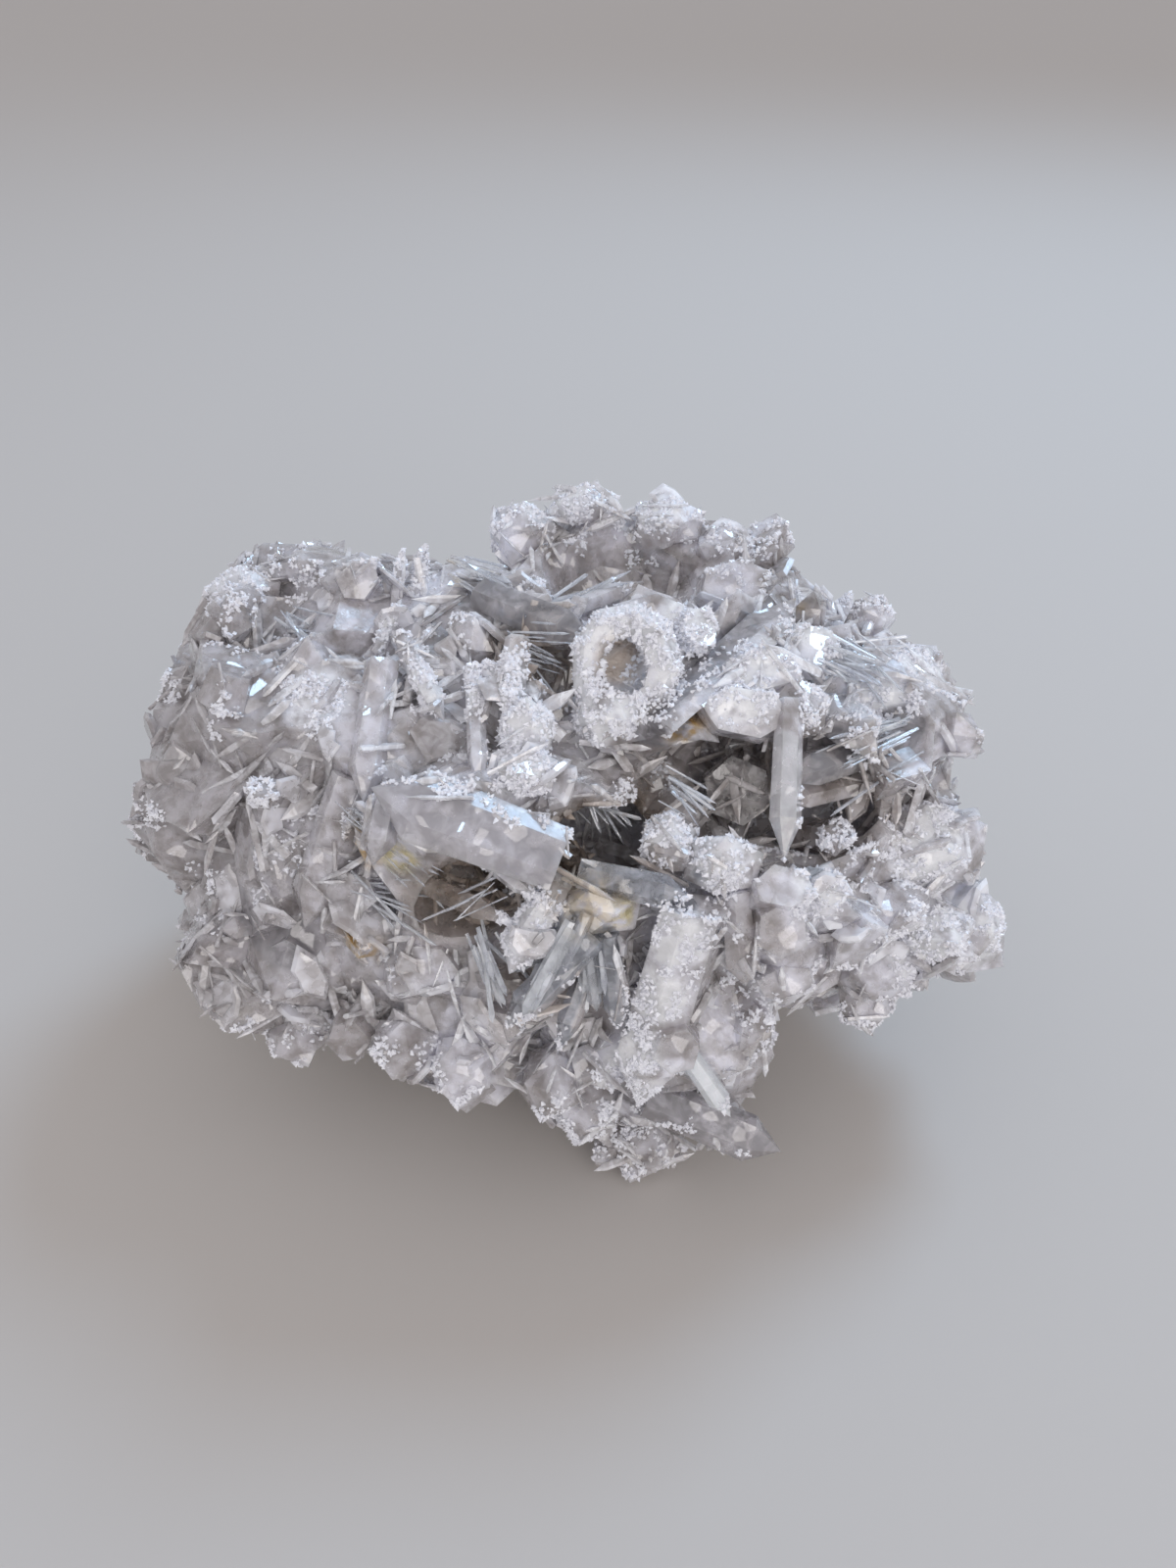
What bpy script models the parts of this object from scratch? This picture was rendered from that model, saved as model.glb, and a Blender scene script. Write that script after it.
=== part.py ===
"""A loose cluster of rock crystal: hundreds of flattened and needle-like quartz crystals grown into one mass.

The cluster is one solid, because its crystals are grown together. Its mass is a set of faceted lobes with
hollows between them. On the lobes stand the large crystals that can be told apart, then smaller ones that
cover every side. The underside is broken off flat, and the cluster stands on that break.

Lengths are in millimetres here and become metres when the mesh is made. X runs across the front from left
to right, Y from front to back and Z up. The origin is on the underside, below the middle of the cluster.
"""

import math
import random

import bpy
import bmesh
from mathutils import Vector
from mathutils.bvhtree import BVHTree

MM = 0.001

# The space that the whole cluster fills, as half its width, half its depth and its full height.
HALF_WIDTH = 45.0
HALF_DEPTH = 33.0
HEIGHT = 57.0

# Each lobe is its centre, then its three half axes.
LOBES = {
    "left": ((-25, 3, 31), (18, 22, 23.5)),
    "left_front": ((-23, -12, 21), (16.5, 12, 13)),
    "front_middle": ((-8, -15, 19), (13, 13, 13)),
    "middle": ((-6, -6, 38), (17, 16, 14)),
    "ridge": ((-8, -17, 41), (12, 7, 7)),
    "saddle": ((-12, 5, 43), (11, 10, 10.5)),
    "brow": ((12, -7, 46), (15, 9, 6)),
    "right_top": ((27, -2, 42), (13, 13, 9)),
    "right_saddle": ((17, 5, 42), (9, 8, 9)),
    "right_back": ((26, 8, 29), (14, 17, 17)),
    "right_front": ((31.5, -8.5, 22), (11.5, 11.5, 12)),
    "shelf": ((11, -17, 32), (12, 10, 8)),
    "right_shelf": ((20, -18, 31), (8, 9, 8)),
    "foot": ((9, -20, 15.5), (10.5, 10, 16.5)),
    "crest": ((7, 16, 42), (18.5, 11, 13.5)),
    "back": ((-3, 16, 25), (26, 14.5, 21)),
    "base": ((0, 5, 9), (24, 16, 14)),
}
LOBE_ROUGHNESS = 0.12

# The mass is set with blunt crystal points: the size of a facet, how far the points stand out, the share of
# that height that the lowest one has, how deep the dents between them are, the share of dents, and how far a
# corner may stray sideways.
FACET_SIZE = 4.9
POINT_HEIGHT = 2.4
LOWEST_POINT = 0.2
DENT_DEPTH = -1.8
DENT_SHARE = 0.45
POINT_SIDEWAYS = 0.9

# Where points run into each other they are eased back: how often, by which share of their height, and how
# nearly a facet must still face its first way.
EASING_ROUNDS = 12
EASING_SHARE = 0.5
LEAST_FACING = 0.15

# Each hollow is its centre, then its three half axes. All of them open to the front or the top.
HOLLOWS = {
    "gallery": ((18, -17, 41), (13, 9, 6.5)),
    "gallery_back": ((23, -10, 36), (10, 8, 5.5)),
    "middle_cleft": ((3.5, -21, 39), (7, 9, 4)),
    "middle_cleft_back": ((4, -14, 35), (6, 8, 4)),
    "left_cleft": ((-8, -22, 34), (5.5, 9, 4)),
    "foot_hollow": ((0.5, -28, 27), (6, 7, 6.5)),
    "summit_hollow": ((6, 8, 53), (9, 7.5, 8)),
    "ring_pit": ((-1, -8, 51), (4, 5, 6)),
}
HOLLOW_ROUGHNESS = 0.12
LUMP_ROUGHNESS = 0.14

# Two ways that many crystals face.
FRONT = (0, -0.82, 0.57)
UP = (0, -0.2, 1)

# The large blades and prisms that can be told apart: root end, free end, width, thickness, facing.
BLADES = {
    "leaf_blade": ((0, -26, 41.5), (-16, -22.5, 46.5), 6.5, 2.2, (0.1, -0.7, 0.7)),
    "clear_prism": ((19.9, -15, 50.5), (18.8, -26, 41.5), 2.8, 2.4, FRONT),
    "long_frosted_blade": ((11.5, -28, 38), (7, -30, 15), 7, 4, (0.2, -1, 0.3)),
    "tall_frosted_blade": ((-19, -16, 43), (-24, -21.5, 29.5), 4.5, 3, FRONT),
    "striated_prism": ((-16.5, -9, 51), (-17.5, -19.5, 42.5), 3.6, 3, FRONT),
    "crossed_blade_low": ((-18.5, -8, 48.5), (-26.5, -12, 43), 2.6, 2.4, FRONT),
    "crossed_blade_high": ((-15, -7, 52.5), (-10.5, -14.5, 48), 2.2, 2, FRONT),
    "ridge_prism": ((-8, -11, 51.5), (-7, -21.5, 45.5), 1.8, 1.8, FRONT),
    "ridge_blade": ((-4, -10, 54), (-4.7, -16.5, 49.5), 2.6, 2, FRONT),
    "grey_blade": ((-8, -0.5, 53.5), (2.8, -8, 52.5), 4.4, 3.4, (0.3, -0.5, 0.8)),
    "summit_prism_left": ((-4, -3, 51), (8, 3.5, 53), 2, 2, UP),
    "summit_prism_right": ((-2, -5, 50), (9, 1, 52), 1.8, 1.8, UP),
    "leaning_plate": ((8, -16, 48.5), (22, -2, 54), 6.5, 2.2, (-0.7, -0.3, 0.8)),
    "roof_blade": ((34, -9, 43), (18.5, -18, 44), 3.6, 2.4, (0, -0.5, 0.8)),
    "gallery_blade": ((29, -13, 40.5), (19.5, -17, 41), 3, 2, (0, -0.3, 1)),
    "gallery_prism_left": ((29, -11, 42), (26.5, -16, 37.5), 2.4, 2.2, FRONT),
    "gallery_prism_right": ((32, -10, 42), (29.5, -15, 37), 2.2, 2, FRONT),
    "gallery_floor_crystal": ((22, -13, 34), (26, -20, 39), 4, 3, UP),
    "cleft_blade": ((-17, -18.5, 35), (-4, -27.5, 35.5), 2.2, 2, (0, -0.5, 1)),
    "cleft_prism": ((-8.5, -22, 40), (-2, -27.5, 38.5), 1.6, 1.6, FRONT),
    "flat_clear_blade": ((1.5, -26, 40), (11, -28, 39), 3, 1.8, FRONT),
    "stained_ridge": ((0.5, -24, 38.5), (-4.5, -30, 32), 4.2, 3.4, FRONT),
    "hollow_prism": ((3, -28, 35), (-5, -31, 26.5), 3.2, 3, FRONT),
    "hollow_blade": ((4, -25, 34), (-0.5, -31.5, 23.5), 2.2, 2, FRONT),
    "hollow_column": ((4, -28, 35), (5, -30, 25), 2.2, 2.2, FRONT),
    "side_plate": ((15, -26, 38), (16, -29.5, 30), 3.4, 2.2, (0.4, -0.9, 0.3)),
    "lit_prism": ((11, -29, 21.5), (15.5, -31.5, 15), 2.2, 2, FRONT),
    "spike": ((8, -27, 12.5), (21, -30, 8), 4.6, 3, (0, -0.6, 0.8)),
    "foot_slab": ((3, -26, 2.5), (12.5, -26, 3.5), 3, 2.6, FRONT),
    "twin_prism_left": ((-17, 1, 50), (-15.8, 4, 56.2), 1.4, 1.4, FRONT),
    "twin_prism_right": ((-15.2, 1, 50), (-13.6, 4.3, 56.5), 1.4, 1.4, FRONT),
    "lit_blade": ((-18, -4, 49), (-15.6, -0.6, 53.2), 1.6, 1.4, FRONT),
    "right_peak": ((29, 2, 46), (31.4, 2.2, 52), 4.5, 4, FRONT),
    "brown_blade": ((23.5, -2, 47), (24.1, 0.5, 53.5), 3, 2, FRONT),
    "left_rim_blade": ((-31, 7, 52), (-24, 4, 54.8), 2.4, 2.2, UP),
    "under_lip_blade": ((29, -18, 22), (30.5, -21, 15), 5.5, 2.4, (0.2, -0.9, -0.3)),
}

# Flat plates: middle, the way they face, the way their long side runs, length, width and thickness.
PLATES = {
    "upper_right_plate": ((17.5, -12, 51.5), (0, -0.65, 0.75), (1, 0.2, 0), 9, 5, 2.2),
    "lower_right_plate": ((16, -15.5, 49.5), (0, -0.8, 0.6), (1, 0, -0.1), 9.5, 5.5, 2.2),
    "shoulder_plate": ((22.5, -8, 51.5), (-0.1, -0.6, 0.8), (1, 0.1, 0), 7, 5.5, 2.2),
    "plate_behind_ring": ((8.5, -6, 54), (0, -0.7, 0.7), (1, 0, 0), 8, 4.5, 2.4),
    "knob_by_ring": ((12.3, -8, 53.5), (0.2, -0.6, 0.7), (0, 0.5, 0.8), 5, 4, 2.4),
    "back_plate": ((17, 6, 51), (0, -0.7, 0.6), (1, 0, 0.3), 9, 6, 4),
    "octagon": ((16.5, -11.5, 38.5), (-0.1, -0.85, 0.5), (1, 0, 0), 8, 7.5, 8),
    "round_plate": ((-20.3, -24.5, 18.5), (-0.1, -0.9, 0.1), (0, 0, 1), 5.8, 5, 2.4),
    "frosted_plate": ((-19.3, -20.5, 33), (0, -0.85, 0.5), (1, 0, 0.2), 6, 5.2, 2.4),
    "low_left_plate": ((-28, -19.5, 20), (-0.4, -0.9, 0.3), (1, 0, 0.2), 5, 4, 2),
    "left_plate": ((-31, -9, 38.5), (-0.5, -0.8, 0.5), (1, 0, 0), 5, 4, 2.2),
    "left_white_plate": ((-29.5, -13, 33.5), (-0.4, -0.85, 0.4), (1, 0, -0.2), 5.5, 4.4, 2.2),
    "left_high_plate": ((-35, 2.5, 46), (-0.6, -0.5, 0.7), (0.4, 0, 0.8), 7, 5.5, 2.6),
    "left_slope_plate": ((-27, -6.5, 44.5), (-0.2, -0.7, 0.7), (1, 0, 0.2), 7, 5, 2.6),
    "left_middle_plate": ((-24.5, -12.5, 41), (0.1, -0.8, 0.6), (0.3, 0, 1), 5.5, 4, 2.4),
    "left_dark_plate": ((-31, -14.5, 28), (-0.5, -0.8, 0.2), (0.8, 0, 0.6), 7, 5, 2.4),
    "left_clear_plate": ((-25, -19.5, 24), (-0.3, -0.9, 0.2), (1, 0, -0.5), 7.5, 5, 2.6),
    "cleft_plate": ((-12.3, -24.5, 27.5), (0, -0.9, 0.4), (1, 0, 0.4), 6.5, 6, 2.4),
    "bright_plate": ((18.6, -26.5, 38.6), (0.1, -0.6, 0.8), (1, 0, 0), 6.5, 4.4, 2.4),
    "grey_plate": ((18.7, -27.5, 35.5), (0.1, -0.9, 0.3), (0, 0, 1), 6.5, 5.5, 2.6),
    "shelf_knob": ((22.8, -24.5, 37), (0.3, -0.7, 0.6), (1, 0, 0), 4.5, 4, 2.6),
    "round_grey_plate": ((10.1, -30.8, 24), (0.1, -0.95, 0.2), (0, 0, 1), 5.6, 5, 2.4),
    "lip_plate": ((-6, -27, 23), (0, -0.8, 0.5), (1, 0, -0.6), 5.5, 3.2, 3.4),
    "foot_side_plate": ((17.5, -25, 20), (0.4, -0.9, 0.2), (0, 0, 1), 7, 4.5, 2.6),
    "foot_side_knob": ((18.5, -24.5, 16), (0.4, -0.8, 0.3), (1, 0, 0), 3.6, 3.2, 2.4),
    "under_shelf_plate": ((20, -25.5, 27), (0.1, -0.9, 0.3), (1, 0, 0.2), 6.5, 4.5, 2.4),
}

# Rounder frosted lumps: middle, then half axes.
LUMPS = {
    "white_lump_high": ((-3, -16.5, 48.5), (3, 2.5, 3)),
    "white_lump_low": ((-3, -19.5, 46), (3, 2.6, 2.6)),
    "ring_foot_lump": ((4.5, -14.5, 48.5), (4, 3, 3)),
    "prism_root_lump": ((20.5, -13, 48.5), (3.5, 3.5, 3)),
    "shelf_lump_left": ((9.3, -22.5, 40.5), (3, 3, 3.4)),
    "shelf_lump_right": ((14, -25, 40), (3.6, 2.6, 3)),
    "top_left_lump": ((-32.5, 5, 50.5), (4, 3.5, 3.5)),
    "top_left_knob": ((-21.5, 3, 53), (3.4, 2.5, 2)),
    "left_edge_lump_high": ((-39.5, -1, 38), (3.5, 4, 4.5)),
    "left_edge_lump_low": ((-41, -5, 29), (4.5, 4.5, 4.5)),
    "front_lump_left": ((-15, -26, 18.5), (3.5, 3.5, 3)),
    "front_lump_right": ((-9.5, -27.5, 18), (3.5, 3.5, 3)),
    "foot_side_lump": ((15.5, -22, 18), (4.5, 4.5, 8)),
    "foot_toe_lump": ((8, -24.5, 3.5), (5, 4.5, 5)),
    "foot_lump_high": ((-1, -28, 16.5), (3.5, 4, 3.5)),
    "foot_lump_low": ((2, -26.5, 11), (3.5, 4, 4)),
    "right_lump_high": ((34.5, -13, 33), (6.5, 5, 4.5)),
    "right_lump_middle": ((31, -19, 30), (4, 3.5, 3.5)),
    "right_lump_front": ((35.5, -18.5, 25.5), (4, 3.5, 4.5)),
    "right_lump_outer": ((40.5, -14, 22.5), (4.5, 4, 6)),
    "right_lump_low": ((30.5, -20, 22.5), (4, 3.5, 3.5)),
    "right_shoulder_lump": ((34, -5.5, 43.5), (4, 3.5, 3)),
    "stain_lump": ((3.4, -26.5, 36.8), (4, 3, 3)),
    "crest_lump_left": ((-4.5, 14.5, 53), (4, 3.5, 4)),
    "crest_lump_middle": ((2, 16.5, 55.5), (4, 3, 2.5)),
    "crest_lump_right": ((11, 15.5, 54), (4.5, 3.5, 3)),
    "crest_lump_far_right": ((17, 13.5, 51.5), (4, 3.5, 3.5)),
}

# The frosted ring on the ridge: its middle, half its width and height, and the thickness of its band.
RING_MIDDLE = (5.6, -12.5, 52.5)
RING_HALF_WIDTH = 3.4
RING_HALF_HEIGHT = 4.2
RING_BAND = 3.4
RING_BAND_SPREAD = 0.15
RING_CORNERS = 9
RING_SIDES = 5

# The shape of a crystal: the share of its length that its point takes, and its root against its full width.
POINT_SHARE = 0.24
ROOT_TAPER = 0.86

# The shape of a plate: its front face against its back face, and how uneven its outline is.
PLATE_TAPER = 0.84
PLATE_OUTLINE = (0.86, 1.12)

# Small crystals cover the stone: how far they stand apart on the front and elsewhere, how near the front a
# face has to look, how far the crystals keep from the large ones, how deep they root, how far they reach, how
# low they may stand and how far they lean.
FRONT_SPACING = 10
OTHER_SPACING = 13
LOOKS_FORWARD = 0.2
CLEAR_OF_LARGE = 3.2
SMALL_ROOT = 2.5
SMALL_REACH = (1.8, 4.2)
LOWEST_SMALL = 3.0
SMALL_LEAN = 0.5
SPOTS_TRIED = 5000
SEED = 3

# Three kinds of small crystal, with the share of the first two: tablets, prisms and thick plates.
TABLET_SHARE = 0.4
TABLET_WIDTH = (4.5, 8)
TABLET_THICKNESS = (2, 3.2)
TABLET_POINT_SHARE = 0.34
PRISM_SHARE = 0.25
PRISM_WIDTH = (2, 3.2)
SMALL_PLATE_LENGTH = (5.5, 9)
SMALL_PLATE_WIDTH = 0.8
SMALL_PLATE_THICKNESS = (2.4, 3.6)
SMALL_PLATE_LIFT = 0.6

# The block that cuts the underside flat reaches this many times the half width and half depth.
BLOCK_REACH = 4

# Corners nearer than this are one corner.
SMALLEST_STEP = 0.002

QUARTZ_COLOUR = (0.72, 0.72, 0.74)
QUARTZ_ROUGHNESS = 0.35


def crystal(mesh, foot, tip, width, thickness, facing, point=POINT_SHARE):
    """Adds one six-sided crystal. Its two broad sides look along facing, and its free end comes to a point."""
    foot = Vector(foot)
    tip = Vector(tip)
    along = (tip - foot).normalized()
    outward = Vector(facing)
    outward = (outward - along * outward.dot(along)).normalized()
    across = outward.cross(along)
    shoulder = tip.lerp(foot, point)
    rings = []
    for middle, size in ((foot, ROOT_TAPER), (shoulder, 1.0)):
        ring = []
        for side in range(6):
            angle = math.radians(60 * side)
            corner = middle + across * (math.cos(angle) * width * size / 2)
            corner += outward * (math.sin(angle) * thickness * size / (2 * math.sin(math.radians(60))))
            ring.append(mesh.verts.new(corner * MM))
        rings.append(ring)
    apex = mesh.verts.new(tip * MM)
    low, high = rings
    mesh.faces.new(list(reversed(low)))
    for side in range(6):
        after = (side + 1) % 6
        mesh.faces.new((low[side], low[after], high[after], high[side]))
        mesh.faces.new((high[side], high[after], apex))


def plate(mesh, middle, facing, along, length, width, thickness, rng, corners=6):
    """Adds one flat plate with an uneven outline, whose front face is a little smaller than its back."""
    middle = Vector(middle)
    outward = Vector(facing).normalized()
    across = Vector(along)
    across = (across - outward * across.dot(outward)).normalized()
    upward = outward.cross(across)
    turn = rng.uniform(0, 360)
    reach = [rng.uniform(*PLATE_OUTLINE) for _ in range(corners)]
    rings = []
    for rise, size in ((-thickness / 2, 1.0), (thickness / 2, PLATE_TAPER)):
        ring = []
        for number in range(corners):
            angle = math.radians(turn + 360 * number / corners)
            corner = middle + outward * rise
            corner += across * (math.cos(angle) * reach[number] * size * length / 2)
            corner += upward * (math.sin(angle) * reach[number] * size * width / 2)
            ring.append(mesh.verts.new(corner * MM))
        rings.append(ring)
    low, high = rings
    mesh.faces.new(list(reversed(low)))
    mesh.faces.new(high)
    for number in range(corners):
        after = (number + 1) % corners
        mesh.faces.new((low[number], low[after], high[after], high[number]))


def rough_ball(mesh, centre, half_axes, roughness, rng, subdivisions=2):
    """Adds one closed faceted ball, stretched to its half axes, with each corner moved in or out a little."""
    made = bmesh.ops.create_icosphere(mesh, subdivisions=subdivisions, radius=1.0)
    for vert in made["verts"]:
        swell = 1 + rng.uniform(-roughness, roughness)
        vert.co = Vector([c + v * a * swell for c, v, a in zip(centre, vert.co, half_axes)]) * MM


def set_with_points(made, rng):
    """Reworks the plain mass into even facets, then pulls its corners into blunt crystal points and dents."""
    step = made.modifiers.new("facets", "REMESH")
    step.mode = "VOXEL"
    step.voxel_size = FACET_SIZE * MM
    depsgraph = bpy.context.evaluated_depsgraph_get()
    result = bpy.data.meshes.new_from_object(made.evaluated_get(depsgraph))
    made.modifiers.clear()
    mesh = bmesh.new()
    mesh.from_mesh(result)
    bmesh.ops.triangulate(mesh, faces=mesh.faces)
    mesh.normal_update()
    mesh.faces.ensure_lookup_table()

    before = [vert.co.copy() for vert in mesh.verts]
    facing = [face.normal.copy() for face in mesh.faces]
    for vert in mesh.verts:
        height = DENT_DEPTH if rng.random() < DENT_SHARE else rng.uniform(LOWEST_POINT, 1) * POINT_HEIGHT
        sideways = Vector([rng.uniform(-1, 1) for _ in range(3)]) * POINT_SIDEWAYS
        vert.co = before[vert.index] + (vert.normal * height + sideways) * MM

    for _ in range(EASING_ROUNDS):
        mesh.normal_update()
        tangled = set()
        for face in mesh.faces:
            if face.normal.dot(facing[face.index]) < LEAST_FACING:
                tangled.update(face.verts)
        tree = BVHTree.FromBMesh(mesh)
        for one, other in tree.overlap(tree):
            corners = set(mesh.faces[one].verts), set(mesh.faces[other].verts)
            if not corners[0] & corners[1]:
                tangled |= corners[0] | corners[1]
        if not tangled:
            break
        for vert in tangled:
            vert.co = vert.co.lerp(before[vert.index], EASING_SHARE)
    mesh.to_mesh(result)
    mesh.free()
    made.data = result


def frosted_ring(mesh, rng):
    """Adds the closed ring of frosted crystal that stands on the ridge and faces the front."""
    middle = Vector(RING_MIDDLE)
    outward = Vector(FRONT).normalized()
    across = Vector((1, 0, 0))
    upward = outward.cross(across)
    loops = []
    for number in range(RING_CORNERS):
        angle = 2 * math.pi * number / RING_CORNERS
        spoke = across * math.cos(angle) + upward * math.sin(angle)
        centre = middle + across * (math.cos(angle) * RING_HALF_WIDTH)
        centre += upward * (math.sin(angle) * RING_HALF_HEIGHT)
        band = RING_BAND * rng.uniform(1 - RING_BAND_SPREAD, 1 + RING_BAND_SPREAD)
        loop = []
        for side in range(RING_SIDES):
            tilt = 2 * math.pi * side / RING_SIDES
            corner = centre + spoke * (math.cos(tilt) * band / 2) + outward * (math.sin(tilt) * band / 2)
            loop.append(mesh.verts.new(corner * MM))
        loops.append(loop)
    for number in range(RING_CORNERS):
        loop = loops[number]
        following = loops[(number + 1) % RING_CORNERS]
        for side in range(RING_SIDES):
            after = (side + 1) % RING_SIDES
            mesh.faces.new((loop[side], loop[after], following[after], following[side]))


def solid(name, mesh):
    """Turns a bmesh into an object in the scene, with its faces looking outwards."""
    bmesh.ops.recalc_face_normals(mesh, faces=mesh.faces)
    data = bpy.data.meshes.new(name)
    mesh.to_mesh(data)
    mesh.free()
    made = bpy.data.objects.new(name, data)
    bpy.context.scene.collection.objects.link(made)
    return made


def combine(made, cutter, operation):
    """Joins a cutter to an object or takes it away, and keeps the result as the object's own mesh."""
    step = made.modifiers.new(operation.lower(), "BOOLEAN")
    step.operation = operation
    step.solver = "EXACT"
    step.use_self = True
    step.object = cutter
    depsgraph = bpy.context.evaluated_depsgraph_get()
    result = bpy.data.meshes.new_from_object(made.evaluated_get(depsgraph))
    made.modifiers.clear()
    made.data = result
    bpy.data.objects.remove(cutter)


def distance_to_segment(spot, start, end):
    """How far a spot is from the straight line between two ends."""
    along = end - start
    share = max(0.0, min(1.0, (spot - start).dot(along) / along.length_squared))
    return (spot - (start + along * share)).length


def reaches_out(spot):
    """True where a spot is outside the space that the cluster fills."""
    return abs(spot.x) > HALF_WIDTH or abs(spot.y) > HALF_DEPTH or spot.z > HEIGHT or spot.z < LOWEST_SMALL


def grow_small_crystals(mesh, stone, axes, rng):
    """Adds blocky crystals, stout prisms and thick plates all over the stone, clear of the large ones."""
    faces = list(stone.faces)
    weights = [face.calc_area() for face in faces]
    placed = []
    for _ in range(SPOTS_TRIED):
        face = rng.choices(faces, weights)[0]
        a, b, c = [vert.co / MM for vert in face.verts]
        share_b = rng.random()
        share_c = rng.random()
        if share_b + share_c > 1:
            share_b = 1 - share_b
            share_c = 1 - share_c
        spot = a + (b - a) * share_b + (c - a) * share_c
        lean = Vector([rng.gauss(0, 1) for _ in range(3)])
        facing = Vector([rng.gauss(0, 1) for _ in range(3)])
        along = (face.normal + lean * SMALL_LEAN).normalized()
        root = spot - along * SMALL_ROOT
        tip = spot + along * rng.uniform(*SMALL_REACH)
        if reaches_out(spot) or reaches_out(tip):
            continue
        spacing = FRONT_SPACING if face.normal.dot(Vector(FRONT)) > LOOKS_FORWARD else OTHER_SPACING
        if any((spot - other).length < spacing for other in placed):
            continue
        if any(distance_to_segment(spot, start, end) < CLEAR_OF_LARGE for start, end in axes):
            continue
        placed.append(spot)
        kind = rng.random()
        if kind < TABLET_SHARE:
            width = rng.uniform(*TABLET_WIDTH)
            thickness = rng.uniform(*TABLET_THICKNESS)
            crystal(mesh, root, tip, width, thickness, facing, TABLET_POINT_SHARE)
        elif kind < TABLET_SHARE + PRISM_SHARE:
            width = rng.uniform(*PRISM_WIDTH)
            crystal(mesh, root, tip, width, width, facing)
        else:
            middle = spot + along * SMALL_PLATE_LIFT
            length = rng.uniform(*SMALL_PLATE_LENGTH)
            thickness = rng.uniform(*SMALL_PLATE_THICKNESS)
            plate(mesh, middle, lean, facing, length, length * SMALL_PLATE_WIDTH, thickness, rng)


def underside_block(name):
    """Makes the block of space below the break that the cluster stands on."""
    mesh = bmesh.new()
    made = bmesh.ops.create_cube(mesh, size=1.0)
    for vert in made["verts"]:
        along_x = vert.co.x * BLOCK_REACH * HALF_WIDTH
        along_y = vert.co.y * BLOCK_REACH * HALF_DEPTH
        vert.co = Vector((along_x, along_y, (vert.co.z - 0.5) * HEIGHT)) * MM
    return solid(name, mesh)


def keep_largest_shell(made):
    """Keeps the one large closed surface and drops slivers that are apart from it."""
    mesh = bmesh.new()
    mesh.from_mesh(made.data)
    unseen = set(mesh.verts)
    shells = []
    while unseen:
        shell = set()
        waiting = [unseen.pop()]
        while waiting:
            vert = waiting.pop()
            shell.add(vert)
            for edge in vert.link_edges:
                other = edge.other_vert(vert)
                if other in unseen:
                    unseen.remove(other)
                    waiting.append(other)
        shells.append(shell)
    largest = max(shells, key=len)
    bmesh.ops.delete(mesh, geom=[vert for vert in mesh.verts if vert not in largest], context="VERTS")
    bmesh.ops.remove_doubles(mesh, verts=mesh.verts, dist=SMALLEST_STEP * MM)
    mesh.to_mesh(made.data)
    mesh.free()


def fit_to_size(made):
    """Brings the finished cluster to its exact width, depth and height, standing on z = 0 over the origin."""
    corners = [vert.co.copy() for vert in made.data.vertices]
    low = Vector([min(corner[axis] for corner in corners) for axis in range(3)])
    high = Vector([max(corner[axis] for corner in corners) for axis in range(3)])
    size = Vector((2 * HALF_WIDTH, 2 * HALF_DEPTH, HEIGHT)) * MM
    rest = Vector(((low.x + high.x) / 2, (low.y + high.y) / 2, low.z))
    for vert in made.data.vertices:
        vert.co = Vector([(vert.co[a] - rest[a]) * size[a] / (high[a] - low[a]) for a in range(3)])


def main():
    for old in list(bpy.data.objects):
        bpy.data.objects.remove(old)
    rng = random.Random(SEED)

    first = bmesh.new()
    others = bmesh.new()
    for number, (centre, half_axes) in enumerate(LOBES.values()):
        mesh = others if number else first
        rough_ball(mesh, centre, half_axes, LOBE_ROUGHNESS, rng)
    cluster = solid("quartz_cluster", first)
    combine(cluster, solid("lobes", others), "UNION")
    set_with_points(cluster, rng)

    hollows = bmesh.new()
    for centre, half_axes in HOLLOWS.values():
        rough_ball(hollows, centre, half_axes, HOLLOW_ROUGHNESS, rng)
    combine(cluster, solid("hollows", hollows), "DIFFERENCE")

    crystals = bmesh.new()
    axes = []
    for foot, tip, width, thickness, facing in BLADES.values():
        crystal(crystals, foot, tip, width, thickness, facing)
        axes.append((Vector(foot), Vector(tip)))
    for middle, facing, along, length, width, thickness in PLATES.values():
        plate(crystals, middle, facing, along, length, width, thickness, rng)
        reach = Vector(along).normalized() * length / 3
        axes.append((Vector(middle) - reach, Vector(middle) + reach))
    for centre, half_axes in LUMPS.values():
        rough_ball(crystals, centre, half_axes, LUMP_ROUGHNESS, rng, subdivisions=1)
    frosted_ring(crystals, rng)

    stone = bmesh.new()
    stone.from_mesh(cluster.data)
    bmesh.ops.triangulate(stone, faces=stone.faces)
    grow_small_crystals(crystals, stone, axes, rng)
    stone.free()
    combine(cluster, solid("crystals", crystals), "UNION")
    combine(cluster, underside_block("underside"), "DIFFERENCE")
    keep_largest_shell(cluster)
    fit_to_size(cluster)

    quartz = bpy.data.materials.new("milky_quartz")
    quartz.use_nodes = True
    shader = quartz.node_tree.nodes["Principled BSDF"]
    shader.inputs["Base Color"].default_value = (*QUARTZ_COLOUR, 1)
    shader.inputs["Roughness"].default_value = QUARTZ_ROUGHNESS
    shader.inputs["Metallic"].default_value = 0
    cluster.data.materials.clear()
    cluster.data.materials.append(quartz)


main()
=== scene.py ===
import math

import bpy
import numpy as np
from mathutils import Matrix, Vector
from mathutils.bvhtree import BVHTree


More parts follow.
